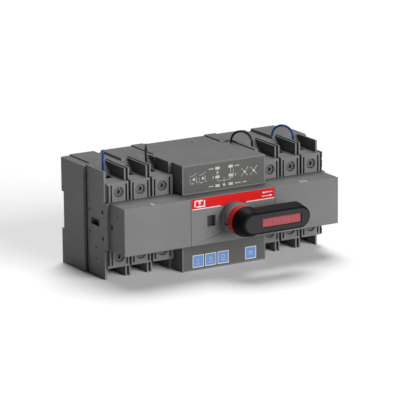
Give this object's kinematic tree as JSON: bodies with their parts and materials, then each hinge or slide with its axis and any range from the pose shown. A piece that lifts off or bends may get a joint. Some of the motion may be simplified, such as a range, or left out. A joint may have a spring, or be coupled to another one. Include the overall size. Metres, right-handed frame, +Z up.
{
  "type": "automatic transfer switch",
  "caption": "Motor driven changeover switch for a mounting rail: two three-pole switches with phase barriers, a control box with keys between them, and a rotary handle.",
  "frame": {"origin": "centre of the rail seat, the floor of the recess in the back", "axes": "+X to the right seen from the front, +Y into the rail and the panel, +Z up"},
  "size_m": [0.2442, 0.1475, 0.1156],
  "materials": {
    "base_moulding": "fine matt moulding",
    "housing_moulding": "fine matt moulding",
    "cover_grey": "fine matt moulding",
    "panel_grey": "satin printed film",
    "screw_dark": "dark zinc plated",
    "strip_red": "printed film",
    "lens_white": "diffusing lens",
    "key_frame_white": "translucent rim",
    "key_blue": "satin key cap",
    "grip_black": "satin moulding",
    "face_dark_grey": "fine textured moulding",
    "collar_red": "satin moulding",
    "lock_red": "satin moulding",
    "slider_black": "satin moulding",
    "steel": "zinc plated",
    "brass": "turned",
    "contact_copper": "silver plated copper",
    "insulator_cream": "glass filled polyester and acetal",
    "board_green": "solder mask",
    "wire_blue": "insulated lead",
    "wire_black": "insulated lead"
  },
  "bodies": {
    "housing": {"base_frame": "base_moulding", "left_switch_housing": "housing_moulding", "right_switch_housing": "housing_moulding", "upper_control_cover": "cover_grey", "upper_film": "panel_grey", "key_panel_cover": "cover_grey", "key_film": "panel_grey", "left_front_cover": "cover_grey", "centre_front_cover": "cover_grey", "right_front_cover": "cover_grey", "name_strip": "strip_red", "indicator_lenses": "lens_white", "key_frames": "key_frame_white", "left_fixed_contacts": "contact_copper", "right_fixed_contacts": "contact_copper", "left_clamp_cages": "steel", "right_clamp_cages": "steel", "left_terminal_screws": "screw_dark", "right_terminal_screws": "screw_dark", "left_arc_plates": "steel", "right_arc_plates": "steel", "front_plate": "steel", "rear_plate": "steel", "plate_spacers": "steel", "shaft_bushes": "brass", "rack_guides": "insulator_cream", "idler_axle": "steel", "motor_can": "steel", "control_board": "board_green", "key_board": "board_green", "position_switches": "slider_black", "blue_wires": "wire_blue", "black_wires": "wire_black", "housing_screws": "steel", "left_clip_spring": "steel", "right_clip_spring": "steel"},
    "handle": {"handle_grip": "grip_black", "handle_face": "face_dark_grey", "handle_collar": "collar_red", "handle_screw": "steel", "drive_shaft": "steel", "shaft_pinion": "steel", "shaft_gear": "insulator_cream"},
    "lock_slide": {"lock_slide": "lock_red"},
    "contact_rack": {"drive_rack": "steel", "left_contact_carrier": "insulator_cream", "right_contact_carrier": "insulator_cream", "left_moving_contacts": "contact_copper", "right_moving_contacts": "contact_copper"},
    "idler": {"idler_gear": "insulator_cream"},
    "motor_rotor": {"motor_pinion": "brass"},
    "key_1": {"key_1": "key_blue"},
    "key_2": {"key_2": "key_blue"},
    "key_3": {"key_3": "key_blue"},
    "key_4": {"key_4": "key_blue"},
    "mode_slider": {"mode_slider": "slider_black"},
    "left_rail_clip": {"left_rail_clip": "slider_black"},
    "right_rail_clip": {"right_rail_clip": "slider_black"}
  },
  "joints": [
    {"name": "handle_turn", "type": "hinge", "parent": "housing", "child": "handle", "pos_m": [0, -0.13, 0], "axis": [0, -1, 0], "range_deg": [0, 180]},
    {"name": "lock_pull", "type": "slide", "parent": "handle", "child": "lock_slide", "axis": [0, -1, 0], "range_m": [0, 0.012]},
    {"name": "rack_slide", "type": "slide", "parent": "housing", "child": "contact_rack", "axis": [1, 0, 0], "range_m": [-0.01131, 0]},
    {"name": "idler_turn", "type": "hinge", "parent": "housing", "child": "idler", "pos_m": [-0.01485, -0.048, -0.01485], "axis": [0, -1, 0], "range_deg": [-720.01, 0]},
    {"name": "motor_turn", "type": "hinge", "parent": "housing", "child": "motor_rotor", "pos_m": [-0.02735, -0.046, -0.01485], "axis": [0, -1, 0], "range_deg": [0, 2880.05]},
    {"name": "mode_slide", "type": "slide", "parent": "housing", "child": "mode_slider", "axis": [1, 0, 0], "range_m": [0, 0.0056]},
    {"name": "key_1_press", "type": "slide", "parent": "housing", "child": "key_1", "axis": [0, 1, 0], "range_m": [0, 0.0008], "stiffness_N_per_m": 900, "springref_m": -0.0006},
    {"name": "key_2_press", "type": "slide", "parent": "housing", "child": "key_2", "axis": [0, 1, 0], "range_m": [0, 0.0008], "stiffness_N_per_m": 900, "springref_m": -0.0006},
    {"name": "key_3_press", "type": "slide", "parent": "housing", "child": "key_3", "axis": [0, 1, 0], "range_m": [0, 0.0008], "stiffness_N_per_m": 900, "springref_m": -0.0006},
    {"name": "key_4_press", "type": "slide", "parent": "housing", "child": "key_4", "axis": [0, 1, 0], "range_m": [0, 0.0008], "stiffness_N_per_m": 900, "springref_m": -0.0006},
    {"name": "left_clip_release", "type": "slide", "parent": "housing", "child": "left_rail_clip", "axis": [0, 0, -1], "range_m": [0, 0.004], "stiffness_N_per_m": 1500, "springref_m": -0.003, "deforming": ["left_clip_spring"]},
    {"name": "right_clip_release", "type": "slide", "parent": "housing", "child": "right_rail_clip", "axis": [0, 0, -1], "range_m": [0, 0.004], "stiffness_N_per_m": 1500, "springref_m": -0.003, "deforming": ["right_clip_spring"]}
  ],
  "couplings": [
    {"joint": "rack_slide", "follows": "handle_turn", "m_per_rad": -0.0036},
    {"joint": "idler_turn", "follows": "handle_turn", "ratio": -4},
    {"joint": "motor_turn", "follows": "handle_turn", "ratio": 16}
  ]
}
